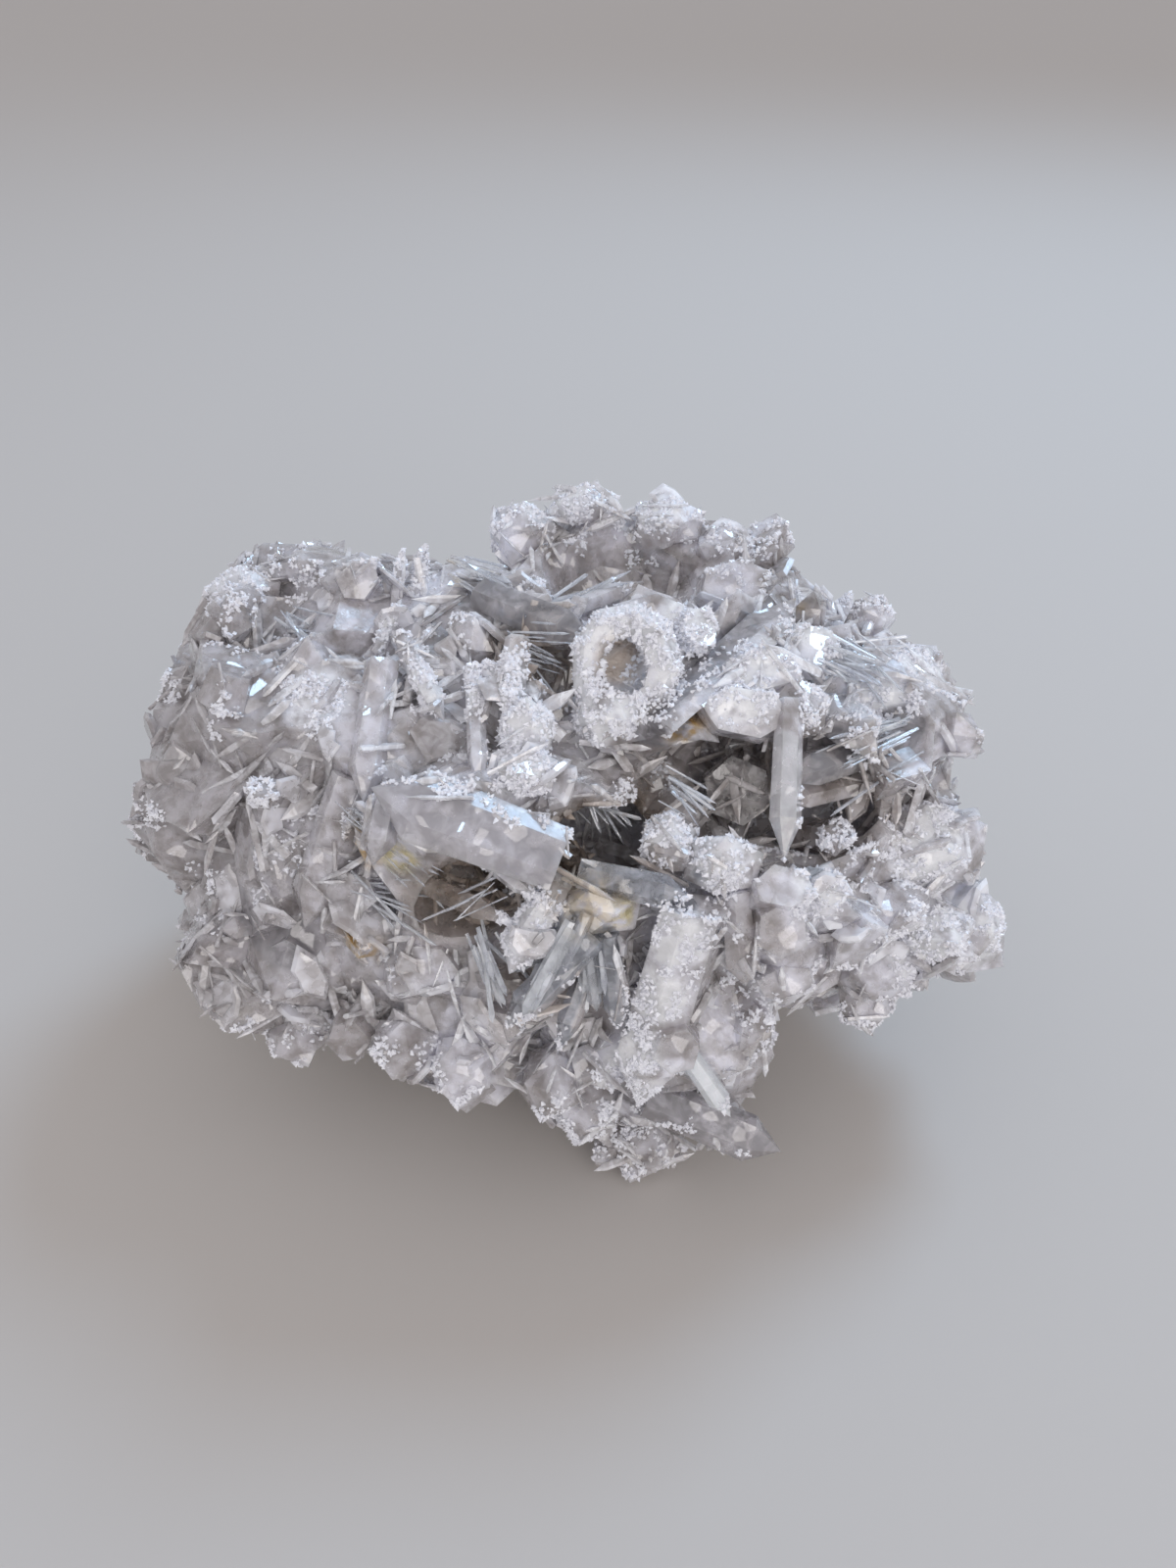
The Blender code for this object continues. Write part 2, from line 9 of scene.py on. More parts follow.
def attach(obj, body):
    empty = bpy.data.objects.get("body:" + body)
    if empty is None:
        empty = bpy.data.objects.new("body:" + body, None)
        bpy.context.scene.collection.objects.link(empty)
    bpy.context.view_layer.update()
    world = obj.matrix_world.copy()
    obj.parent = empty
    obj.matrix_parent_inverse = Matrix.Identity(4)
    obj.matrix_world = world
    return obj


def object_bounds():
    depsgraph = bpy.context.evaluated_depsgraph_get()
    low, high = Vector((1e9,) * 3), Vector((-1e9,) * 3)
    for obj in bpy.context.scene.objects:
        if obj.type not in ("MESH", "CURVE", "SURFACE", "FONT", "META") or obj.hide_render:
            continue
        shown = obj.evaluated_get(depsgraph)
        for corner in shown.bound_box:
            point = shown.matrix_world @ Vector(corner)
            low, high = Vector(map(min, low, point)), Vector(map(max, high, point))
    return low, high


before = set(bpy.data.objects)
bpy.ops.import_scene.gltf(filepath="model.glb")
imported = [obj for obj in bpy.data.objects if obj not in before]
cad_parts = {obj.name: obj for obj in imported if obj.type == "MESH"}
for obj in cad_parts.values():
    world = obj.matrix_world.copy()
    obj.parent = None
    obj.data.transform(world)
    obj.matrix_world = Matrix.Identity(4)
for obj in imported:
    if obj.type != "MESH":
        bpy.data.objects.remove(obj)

# A loose cluster of rock crystal on a pale floor: clear blades and prisms grown into one milky mass.
MM = 0.001
box_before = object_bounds()
scene = bpy.context.scene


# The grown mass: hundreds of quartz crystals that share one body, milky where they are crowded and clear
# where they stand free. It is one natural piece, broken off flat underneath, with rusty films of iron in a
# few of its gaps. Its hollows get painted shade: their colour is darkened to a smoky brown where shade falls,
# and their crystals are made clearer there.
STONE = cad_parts["quartz_cluster"]
QUARTZ_IOR = 1.544
MILKY_WHITE = (0.84, 0.84, 0.92, 1)
CLEAR_GREY = (0.55, 0.50, 0.48, 1)
FROST_WHITE = (0.94, 0.95, 0.99, 1)
# Painted shade: the dark smoky brown put inside the hollows, where shade falls.
HOLLOW_SHADE = (0.60, 0.50, 0.42, 1)
GREY_AND_SHADE_END = (0.38, 0.34, 0.34, 1)
RUST = (0.60, 0.41, 0.18, 1)
OCHRE = (0.80, 0.70, 0.55, 1)
SULPHUR = (0.76, 0.67, 0.36, 1)
CLOUD_MM = 1.6
REGION_MM = 6
STAIN_PATCH_MM = 1.2
FROST_PATCH_MM = 1.5
FACET_MM = 1.1
FACET_TILT = 0.07
SKIN_GRAIN_MM = 0.45
SKIN_DEPTH_MM = 0.08
GLOW_MM = 2.2
GLINT_MM = 1.3
GLINT_TILT = 1.2
GLINT_ROUGHNESS = 0.06
GLINT_IOR = 1.85

# The left end is greyer and less milky: its crystals are clearer there, and part of the grey is painted
# shade, as if the light came from the right. Along X in mm, where that is strongest and where it stops, and
# how much grey and how much of the milkiness there is at the very end.
GREYEST_AND_SHADIEST_MM = (-43, -12)
END_GREY_AND_SHADE = 0.4
LEAST_MILKY_MM = (-40, -10)
END_MILKY = 0.1

# How the places below fade out, from first to last: shares of a hollow's half axes, of the radius of a stain
# or a frosted place, and of a clear crystal's half width.
HOLLOW_FADE = (0.8, 1.35)
STAIN_FADE = (0.4, 1.0)
FROST_FADE = (0.75, 1.1)
CLEAR_FADE = (1.0, 1.25)

# Where the hollows are: middle and half axes in mm, and how dark the painted shade in each one is.
SHADED_HOLLOWS = [
    ((18, -16, 41), (12, 9, 5.5), 0.4),
    ((24, -10, 36), (9, 8, 5), 0.55),
    ((3.5, -19, 38.5), (7, 9, 4), 1.0),
    ((-8, -20, 33.5), (6, 8, 4.5), 0.9),
    ((0.5, -27, 27), (6, 6, 6), 0.6),
    ((6, 8, 51), (9, 7.5, 6), 0.3),
    ((-1, -8, 50), (4.5, 5, 6), 0.8),
    ((5.6, -11, 51.6), (2.3, 4, 2.5), 1.0),
]

# Where iron has stained the crystals: middle and radius in mm, and the colour of the stain.
STAINS = [
    ((-16.5, -20.5, 38), 2.8, RUST),
    ((-13.5, -22, 38), 2.4, SULPHUR),
    ((-18, -23, 28), 2.8, RUST),
    ((11.5, -15.5, 47), 2.6, RUST),
    ((22.5, -1, 52), 2.2, RUST),
    ((6.5, -22, 41.5), 1.8, RUST),
    ((3.4, -27.5, 37), 4.2, OCHRE),
    ((5.8, -28.5, 36.8), 1.6, SULPHUR),
    ((-10.5, 1, 54), 2.2, OCHRE),
]

# The larger crystals that are clearer than the rest: two ends and half width in mm, how clear, and colour.
GREY_GLASS = (0.50, 0.48, 0.50, 1)
WARM_GLASS = (0.57, 0.55, 0.58, 1)
BLUE_GLASS = (0.62, 0.66, 0.74, 1)
PALE_BLUE_GLASS = (0.84, 0.91, 1.0, 1)
BRIGHT_GLASS = (0.93, 0.93, 0.96, 1)
BROWN_GLASS = (0.36, 0.32, 0.30, 1)
CLEARER = [
    ((-1, -26.5, 41.5), (-13, -23.5, 45), 2.6, 0.45, WARM_GLASS),
    ((19.5, -19.5, 47), (18.8, -26.5, 41.5), 1.8, 0.45, BRIGHT_GLASS),
    ((1.5, -26, 40), (11, -28, 39), 1.9, 0.9, BLUE_GLASS),
    ((3, -28, 35), (-5, -31, 26.5), 2.2, 0.8, BLUE_GLASS),
    ((4, -28, 35), (5, -30, 25), 1.6, 0.8, BLUE_GLASS),
    ((4, -25, 34), (-0.5, -31.5, 23.5), 1.5, 0.8, BLUE_GLASS),
    ((11, -29, 21.5), (15.5, -31.5, 15), 1.8, 0.2, PALE_BLUE_GLASS),
    ((8, -27, 12.5), (21, -30, 8), 2.6, 0.6, GREY_GLASS),
    ((16.5, -12, 39.5), (16.5, -14, 40), 4.2, 0.8, BROWN_GLASS),
    ((34, -9, 43), (18.5, -18, 44), 2.2, 0.7, GREY_GLASS),
    ((-8, -0.5, 53.5), (2.8, -8, 52.5), 2.4, 0.7, GREY_GLASS),
    ((9, -15, 47.5), (22, -2, 52.5), 2.4, 0.6, GREY_GLASS),
    ((23.5, -2, 47), (24.1, 0.5, 53.5), 1.8, 0.7, BROWN_GLASS),
    ((-25, -19.5, 24), (-31, -14.5, 28), 2.6, 0.5, GREY_GLASS),
]

# Where a crust of tiny grains makes the crystals white: middle and radius in mm.
FROSTED = [
    ((5.6, -12.5, 52.0), 6.6),
    ((-2.9, -18.1, 48.9), 3.6),
    ((-2.8, -20.9, 46.6), 3.4),
    ((12.3, -8.3, 54.2), 3.4),
    ((9.3, -24, 42.3), 3.6),
    ((14.2, -26.2, 40.8), 3.6),
    ((22.8, -26.1, 37.5), 3.2),
    ((10.5, -29, 35), 3.4),
    ((9, -30, 29), 3.2),
    ((7.5, -30.5, 23), 3.2),
    ((7, -30, 18), 3.4),
    ((12, -12, 50), 2.6),
    ((-8, -13, 50), 3.0),
    ((3, -16, 48.5), 3.2),
    ((-26, -4, 47), 3.4),
    ((-16, -4, 52), 3.0),
    ((24, -6, 52), 3.2),
    ((-2, -29, 36), 3.6),
    ((-12, -12.5, 50.5), 3.2),
    ((-22, -10, 46), 3.6),
    ((-4.4, -14, 51.5), 3.4),
    ((35.6, -20.5, 26.2), 4.5),
    ((34.7, -15.2, 33.9), 4.5),
    ((40.7, -15.5, 23), 4.0),
    ((36.3, -2.6, 44.9), 4.5),
    ((30, -10, 47), 4.0),
    ((-32.8, 4.5, 51.5), 4.0),
    ((9.2, 15.6, 56.9), 5.0),
    ((-1, 16, 57), 4.5),
    ((-3, -24.8, 45.2), 1.8),
    ((-7, -23.8, 46.6), 2.0),
    ((-11, -22.4, 47.6), 2.0),
    ((-0.8, -25.0, 44.9), 1.5),
    ((-5, -24.2, 46), 1.8),
    ((-9, -22.8, 47.2), 2.0),
    ((16.5, -15.5, 51), 3.4),
    ((19, -11, 52), 3.0),
]


def start_material(name):
    """A new quartz material with its shader and the place of each point on the object."""
    material = bpy.data.materials.new(name)
    material.use_nodes = True
    tree = material.node_tree
    shader = tree.nodes["Principled BSDF"]
    shader.inputs["IOR"].default_value = QUARTZ_IOR
    place = tree.nodes.new("ShaderNodeTexCoord").outputs["Object"]
    return material, tree, shader, place


def noise(tree, place, size_mm, detail, stretch=(1, 1, 1), distortion=0.0):
    """Cloudy grain whose lumps are about size_mm across."""
    spread = tree.nodes.new("ShaderNodeMapping")
    spread.inputs["Scale"].default_value = stretch
    tree.links.new(place, spread.inputs["Vector"])
    grain = tree.nodes.new("ShaderNodeTexNoise")
    grain.inputs["Scale"].default_value = 1 / (size_mm * MM)
    grain.inputs["Detail"].default_value = detail
    grain.inputs["Distortion"].default_value = distortion
    tree.links.new(spread.outputs["Vector"], grain.inputs["Vector"])
    return grain.outputs["Fac"]


def spread_over(tree, value, low, high, to_low, to_high):
    """Carries a value from one range to another and holds it there."""
    step = tree.nodes.new("ShaderNodeMapRange")
    step.inputs["From Min"].default_value = low
    step.inputs["From Max"].default_value = high
    step.inputs["To Min"].default_value = to_low
    step.inputs["To Max"].default_value = to_high
    tree.links.new(value, step.inputs["Value"])
    return step.outputs["Result"]


def combine(tree, operation, first, second):
    """Works out a value from two others, each a number or a socket, and holds it between 0 and 1."""
    step = tree.nodes.new("ShaderNodeMath")
    step.operation = operation
    step.use_clamp = True
    for socket, value in zip(step.inputs, (first, second)):
        if isinstance(value, (int, float)):
            socket.default_value = value
        else:
            tree.links.new(value, socket)
    return step.outputs["Value"]


def blend_colours(tree, share, first, second):
    """The first colour where share is 0, the second where it is 1."""
    mix = tree.nodes.new("ShaderNodeMix")
    mix.data_type = "RGBA"
    tree.links.new(share, mix.inputs["Factor"])
    for socket, value in ((mix.inputs["A"], first), (mix.inputs["B"], second)):
        if isinstance(value, tuple):
            socket.default_value = value
        else:
            tree.links.new(value, socket)
    return mix.outputs["Result"]


def along_x(tree, place):
    apart = tree.nodes.new("ShaderNodeSeparateXYZ")
    tree.links.new(place, apart.inputs["Vector"])
    return apart.outputs["X"]


def near_point(tree, place, middle, radius, fade):
    """1 close to a point, falling to 0 between two shares of the radius."""
    reach = tree.nodes.new("ShaderNodeVectorMath")
    reach.operation = "DISTANCE"
    reach.inputs[1].default_value = [c * MM for c in middle]
    tree.links.new(place, reach.inputs[0])
    inner, outer = (share * radius * MM for share in fade)
    return spread_over(tree, reach.outputs["Value"], inner, outer, 1, 0)


def near_line(tree, place, start, end, half_width):
    """1 on a crystal that runs from start to end, falling to 0 just outside it."""
    start = Vector(start) * MM
    line = Vector(end) * MM - start
    from_start = tree.nodes.new("ShaderNodeVectorMath")
    from_start.operation = "SUBTRACT"
    from_start.inputs[1].default_value = start
    tree.links.new(place, from_start.inputs[0])
    along = tree.nodes.new("ShaderNodeVectorMath")
    along.operation = "DOT_PRODUCT"
    along.inputs[1].default_value = line / line.length_squared
    tree.links.new(from_start.outputs["Vector"], along.inputs[0])
    foot = tree.nodes.new("ShaderNodeVectorMath")
    foot.operation = "SCALE"
    foot.inputs[0].default_value = line
    tree.links.new(combine(tree, "ADD", along.outputs["Value"], 0), foot.inputs["Scale"])
    reach = tree.nodes.new("ShaderNodeVectorMath")
    reach.operation = "DISTANCE"
    tree.links.new(from_start.outputs["Vector"], reach.inputs[0])
    tree.links.new(foot.outputs["Vector"], reach.inputs[1])
    inner, outer = (share * half_width * MM for share in CLEAR_FADE)
    return spread_over(tree, reach.outputs["Value"], inner, outer, 1, 0)


def shade_inside_hollow(tree, place, middle, half_axes, depth):
    """How much painted shade a point in an egg-shaped hollow gets, falling to 0 just outside it."""
    squeeze = tree.nodes.new("ShaderNodeMapping")
    squeeze.inputs["Location"].default_value = [-m / h for m, h in zip(middle, half_axes)]
    squeeze.inputs["Scale"].default_value = [1 / (h * MM) for h in half_axes]
    tree.links.new(place, squeeze.inputs["Vector"])
    reach = tree.nodes.new("ShaderNodeVectorMath")
    reach.operation = "LENGTH"
    tree.links.new(squeeze.outputs["Vector"], reach.inputs[0])
    return spread_over(tree, reach.outputs["Value"], *HOLLOW_FADE, depth, 0)


def greatest(tree, values):
    most = values[0]
    for value in values[1:]:
        most = combine(tree, "MAXIMUM", most, value)
    return most


def painted_hollow_shade(tree, place):
    """How much painted shade each point gets: 0 in the open, up to 1 inside the hollows."""
    return greatest(tree, [shade_inside_hollow(tree, place, *hollow_shade) for hollow_shade in SHADED_HOLLOWS])


def darkened(tree, place, colour, hollow_shade):
    """Paints shade into a colour: greyer towards the left end, where the crystals are also clearer, and a
    dark smoky brown inside the hollows.
    """
    # Painted shade at the left end, partly also the greyer colour of its clearer crystals.
    far, near = (x * MM for x in GREYEST_AND_SHADIEST_MM)
    grey_and_shade_at_left_end = spread_over(tree, along_x(tree, place), far, near, END_GREY_AND_SHADE, 0)
    return blend_colours(tree, hollow_shade, blend_colours(tree, grey_and_shade_at_left_end, colour, GREY_AND_SHADE_END), HOLLOW_SHADE)


def stained(tree, place, colour):
    """Lays the iron stains over a colour, thin and patchy."""
    patches = spread_over(tree, noise(tree, place, STAIN_PATCH_MM, 4), 0.38, 0.55, 0, 1)
    for middle, radius, tint in STAINS:
        near = near_point(tree, place, middle, radius, STAIN_FADE)
        colour = blend_colours(tree, combine(tree, "MULTIPLY", near, patches), colour, tint)
    return colour


def frosted_places(tree, place):
    """1 where the crust of grains is thickest, fading in patches to 0 around it."""
    most = greatest(tree, [near_point(tree, place, *frosted, FROST_FADE) for frosted in FROSTED])
    patches = spread_over(tree, noise(tree, place, FROST_PATCH_MM, 4), 0.32, 0.5, 0.2, 1)
    return combine(tree, "MULTIPLY", most, patches)


def milkiness(tree, place):
    """Whole regions that are white and cloudy, next to clearer ones; the left end is the clearest."""
    regions = spread_over(tree, noise(tree, place, REGION_MM, 3, distortion=0.6), 0.42, 0.56, 0, 1)
    far, near = (x * MM for x in LEAST_MILKY_MM)
    from_left_end = spread_over(tree, along_x(tree, place), far, near, END_MILKY, 1)
    return combine(tree, "MULTIPLY", regions, from_left_end)


def crystal_facets(tree, place, size_mm, tilt):
    """Turns the surface a little, differently on each small flat facet, so that facets glint one by one."""
    cells = tree.nodes.new("ShaderNodeTexVoronoi")
    cells.inputs["Scale"].default_value = 1 / (size_mm * MM)
    tree.links.new(place, cells.inputs["Vector"])
    centred = tree.nodes.new("ShaderNodeVectorMath")
    centred.operation = "SUBTRACT"
    centred.inputs[1].default_value = (0.5, 0.5, 0.5)
    tree.links.new(cells.outputs["Color"], centred.inputs[0])
    scaled = tree.nodes.new("ShaderNodeVectorMath")
    scaled.operation = "SCALE"
    scaled.inputs["Scale"].default_value = tilt
    tree.links.new(centred.outputs["Vector"], scaled.inputs[0])
    surface = tree.nodes.new("ShaderNodeNewGeometry")
    turned = tree.nodes.new("ShaderNodeVectorMath")
    turned.operation = "ADD"
    tree.links.new(surface.outputs["Normal"], turned.inputs[0])
    tree.links.new(scaled.outputs["Vector"], turned.inputs[1])
    straight = tree.nodes.new("ShaderNodeVectorMath")
    straight.operation = "NORMALIZE"
    tree.links.new(turned.outputs["Vector"], straight.inputs[0])
    return straight.outputs["Vector"]


def roughen(tree, height, normal, depth_mm):
    """Raises a fine relief of depth_mm on the surface."""
    bump = tree.nodes.new("ShaderNodeBump")
    bump.inputs["Distance"].default_value = depth_mm * MM
    tree.links.new(height, bump.inputs["Height"])
    tree.links.new(normal, bump.inputs["Normal"])
    return bump


def glow_within(shader, weight, reach_mm):
    """Lets light wander under the surface, as it does in milky quartz."""
    shader.inputs["Subsurface Weight"].default_value = weight
    shader.inputs["Subsurface Radius"].default_value = (1, 1, 1)
    shader.inputs["Subsurface Scale"].default_value = reach_mm * MM


def glints(tree, shader, place, size_mm, weight):
    """A polished skin of tiny crystal faces, each tilted its own way, so that some of them flash."""
    shader.inputs["Coat Weight"].default_value = weight
    shader.inputs["Coat Roughness"].default_value = GLINT_ROUGHNESS
    shader.inputs["Coat IOR"].default_value = GLINT_IOR
    tree.links.new(crystal_facets(tree, place, size_mm, GLINT_TILT), shader.inputs["Coat Normal"])


milky, tree, shader, place = start_material("milky_quartz")
fine_clouds = spread_over(tree, noise(tree, place, CLOUD_MM, 4, distortion=0.4), 0.36, 0.62, 0, 0.45)
clouds = combine(tree, "ADD", fine_clouds, combine(tree, "MULTIPLY", milkiness(tree, place), 0.55))
crusted = frosted_places(tree, place)
# Painted shade inside the hollows: their colour is darkened there, and their crystals are made clearer.
hollow_shade = painted_hollow_shade(tree, place)
colour = blend_colours(tree, crusted, blend_colours(tree, clouds, CLEAR_GREY, MILKY_WHITE), FROST_WHITE)
colour = darkened(tree, place, colour, hollow_shade)
clear = spread_over(tree, clouds, 0, 1, 0.55, 0.05)
clear = combine(tree, "ADD", clear, combine(tree, "MULTIPLY", hollow_shade, 0.4))
clear = combine(tree, "SUBTRACT", clear, combine(tree, "MULTIPLY", crusted, 0.3))
frost = spread_over(tree, noise(tree, place, CLOUD_MM, 4), 0.4, 0.65, 0.12, 0.45)
thin_veils = spread_over(tree, noise(tree, place, CLOUD_MM, 4, distortion=0.6), 0.42, 0.66, 1, 0.55)
rough_skin = 1.0
for start, end, half_width, clarity, tint in CLEARER:
    here = combine(tree, "MULTIPLY", near_line(tree, place, start, end, half_width), thin_veils)
    rough_skin = combine(tree, "SUBTRACT", rough_skin, combine(tree, "MULTIPLY", here, 0.8))
    colour = blend_colours(tree, here, colour, tint)
    clear = combine(tree, "MAXIMUM", clear, combine(tree, "MULTIPLY", here, clarity))
    frost = combine(tree, "SUBTRACT", frost, combine(tree, "MULTIPLY", here, 0.35 * clarity))
frost = combine(tree, "MAXIMUM", frost, 0.04)
tree.links.new(stained(tree, place, colour), shader.inputs["Base Color"])
tree.links.new(clear, shader.inputs["Transmission Weight"])
tree.links.new(frost, shader.inputs["Roughness"])
facets = crystal_facets(tree, place, FACET_MM, FACET_TILT)
skin = roughen(tree, noise(tree, place, SKIN_GRAIN_MM, 4), facets, SKIN_DEPTH_MM)
tree.links.new(rough_skin, skin.inputs["Strength"])
tree.links.new(skin.outputs["Normal"], shader.inputs["Normal"])
glow_within(shader, weight=0.8, reach_mm=GLOW_MM)
glints(tree, shader, place, size_mm=GLINT_MM, weight=0.9)
STONE.data.materials.clear()
STONE.data.materials.append(milky)


# Tabular crystals: plates a few millimetres across with uneven outlines, some clear and some milky. They lean
# over the mass like shingles and grew on it, so each one has its root in the stone.
PLATE_SEED = 21
PLATE_COUNT = 1500
PLATE_RADII_MM = (1.2, 2.8)
PLATE_THICKNESSES_MM = (0.4, 0.9)
PLATE_LEANS = (5, 90)
PLATE_SIDES = 8
PLATE_LONGER_BY = 0.35
PLATE_RAGGED_BY = 0.24
PLATE_RINGS = ((-0.5, 0.86), (0.05, 1.0), (0.5, 0.8))
PLATE_SUNK = 0.8
PLATE_CLEARANCE = 1.0
PLATE_OFF_HOLLOWS = 1.15
PLATE_VEIL_MM = 1.4
PLATE_GREY = (0.66, 0.61, 0.59, 1)
PLATE_WHITE = (0.89, 0.90, 0.96, 1)
HIGHEST_MM = 1.1
ABOVE_FLOOR_MM = 0.2

# The large crystals of the mass that stay uncovered: two ends and a clear distance, in mm.
UNCOVERED = [
    ((0, -27.5, 40.5), (-14, -24.5, 44.5), 3.0),
    ((19.9, -15, 50.5), (18.8, -26, 41.5), 2.4),
    ((11.5, -28, 38), (7, -30, 15), 3.6),
    ((-19, -16, 43), (-24, -21.5, 29.5), 2.4),
    ((-16.5, -9, 51), (-17.5, -19.5, 42.5), 2.0),
    ((-8, -11, 51.5), (-7, -21.5, 45.5), 1.4),
    ((-8, -0.5, 53.5), (2.8, -8, 52.5), 2.4),
    ((8, -16, 48.5), (22, -2, 54), 3.2),
    ((3, -28, 35), (-5, -31, 26.5), 1.9),
    ((4, -28, 35), (5, -30, 25), 1.5),
    ((1.5, -26, 40), (11, -28, 39), 1.8),
    ((11, -29, 21.5), (15.5, -31.5, 15), 2.0),
    ((8, -27, 12.5), (21, -30, 8), 2.6),
    ((-17, -18.5, 35), (-4, -27.5, 35.5), 1.4),
    ((0.5, -24, 38.5), (-4.5, -30, 32), 2.0),
    ((15, -11.5, 38.5), (18, -11.5, 38.5), 3.8),
    ((16, -26.5, 38.6), (21, -26.5, 38.6), 2.2),
    ((18.7, -27.5, 34), (18.7, -27.5, 37), 2.6),
]
RING_MIDDLE = np.array((5.6, -12.5, 52.0)) * MM
RING_REACH_MM = 6.4
AWAY = Vector((0.31, -0.23, 0.92)).normalized()


def surface_of(obj):
    """The corners, outward directions and areas of all triangles of an object."""
    mesh = obj.data
    mesh.calc_loop_triangles()
    points = np.empty(len(mesh.vertices) * 3)
    mesh.vertices.foreach_get("co", points)
    points = points.reshape(-1, 3)
    corners = np.empty(len(mesh.loop_triangles) * 3, np.int32)
    mesh.loop_triangles.foreach_get("vertices", corners)
    near, shared = np.unique(np.round(points * 1e6), axis=0, return_inverse=True)
    points = near / 1e6
    corners = shared.ravel()[corners].reshape(-1, 3)
    a, b, c = (points[corners[:, i]] for i in range(3))
    across = np.cross(b - a, c - a)
    doubled = np.linalg.norm(across, axis=1)
    return points, corners, across / np.maximum(doubled, 1e-18)[:, None], doubled / 2


POINTS, CORNERS, OUTWARD, AREAS = surface_of(STONE)
SURFACE = BVHTree.FromPolygons(POINTS.tolist(), CORNERS.tolist())


def unit(vectors):
    return vectors / np.maximum(np.linalg.norm(vectors, axis=1), 1e-12)[:, None]


def spots_on_stone(rng, count):
    """Even random spots on the stone, with the outward direction at each."""
    chosen = rng.choice(len(AREAS), count, p=AREAS / AREAS.sum())
    share_b = rng.random(count)
    share_c = rng.random(count)
    over = share_b + share_c > 1
    share_b[over] = 1 - share_b[over]
    share_c[over] = 1 - share_c[over]
    a, b, c = (POINTS[CORNERS[chosen, i]] for i in range(3))
    return a + (b - a) * share_b[:, None] + (c - a) * share_c[:, None], OUTWARD[chosen]


def lean_out(rng, outward, lowest, highest):
    """Random directions that rise from the surface by an angle between lowest and highest, in degrees."""
    aside = unit(np.cross(outward, rng.normal(size=outward.shape)))
    rise = np.radians(rng.uniform(lowest, highest, len(outward)))[:, None]
    return aside * np.cos(rise) + outward * np.sin(rise)


def depth_in_hollows(spots):
    """Less than 1 where a spot is inside one of the hollows."""
    least = np.full(len(spots), 9.0)
    for middle, half_axes, _ in SHADED_HOLLOWS:
        reach = (spots / MM - np.array(middle)) / np.array(half_axes)
        least = np.minimum(least, np.linalg.norm(reach, axis=1))
    return least


def off_large_crystals(spots, share):
    """True where a spot keeps a share of the clear distance from the ring and from each large crystal."""
    free = np.linalg.norm(spots - RING_MIDDLE, axis=1) > RING_REACH_MM * MM * share
    for start, end, distance in UNCOVERED:
        start = np.array(start) * MM
        line = np.array(end) * MM - start
        share_along = np.clip((spots - start) @ line / (line @ line), 0, 1)[:, None]
        free &= np.linalg.norm(spots - start - share_along * line, axis=1) > distance * MM * share
    return free


def height_above(points):
    """How far points stand out of the stone, in metres; below zero inside it."""
    heights = np.empty(len(points))
    for i, point in enumerate(points.tolist()):
        distance = SURFACE.find_nearest(point)[3]
        beyond = SURFACE.ray_cast(point, AWAY)[1]
        heights[i] = -distance if beyond is not None and beyond.dot(AWAY) > 0 else distance
    return heights


def join_solids(name, corners, faces, material, highest_mm, spare_mm=0.6):
    """One mesh of many small closed solids of one kind, without those that reach too far out of the stone."""
    low, high = (np.array(corner) for corner in box_before)
    keep = (corners.min(axis=1) > low - spare_mm * MM).all(axis=1)
    keep &= (corners.max(axis=1) < high + spare_mm * MM).all(axis=1)
    keep &= corners[:, :, 2].min(axis=1) > ABOVE_FLOOR_MM * MM
    corners = corners[keep]
    middle = corners.mean(axis=1, keepdims=True)
    farthest = np.linalg.norm(corners - middle, axis=2).argsort(axis=1)[:, -3:]
    tips = np.take_along_axis(corners, farthest[:, :, None], axis=1)
    heights = height_above(tips.reshape(-1, 3)).reshape(-1, 3).max(axis=1)
    corners = corners[heights < highest_mm * MM]
    count, each = corners.shape[:2]
    loops = np.array([corner for face in faces for corner in face])
    starts = np.concatenate([[0], np.cumsum([len(face) for face in faces])[:-1]])
    all_loops = (loops[None, :] + (np.arange(count) * each)[:, None]).ravel()
    all_starts = (starts[None, :] + (np.arange(count) * len(loops))[:, None]).ravel()
    mesh = bpy.data.meshes.new(name)
    mesh.vertices.add(count * each)
    mesh.vertices.foreach_set("co", corners.astype(np.float32).ravel())
    mesh.loops.add(len(all_loops))
    mesh.loops.foreach_set("vertex_index", all_loops.astype(np.int32))
    mesh.polygons.add(len(all_starts))
    mesh.polygons.foreach_set("loop_start", all_starts.astype(np.int32))
    mesh.update(calc_edges=True)
    mesh.shade_flat()
    mesh.materials.append(material)
    made = bpy.data.objects.new(name, mesh)
    scene.collection.objects.link(made)
    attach(made, "root")


def bands(sides, rings):
    """Faces between rings of corners that follow one another."""
    faces = []
    for ring in range(rings - 1):
        low = ring * sides
        high = low + sides
        for side in range(sides):
            after = (side + 1) % sides
            faces.append([low + side, low + after, high + after, high + side])
    return faces


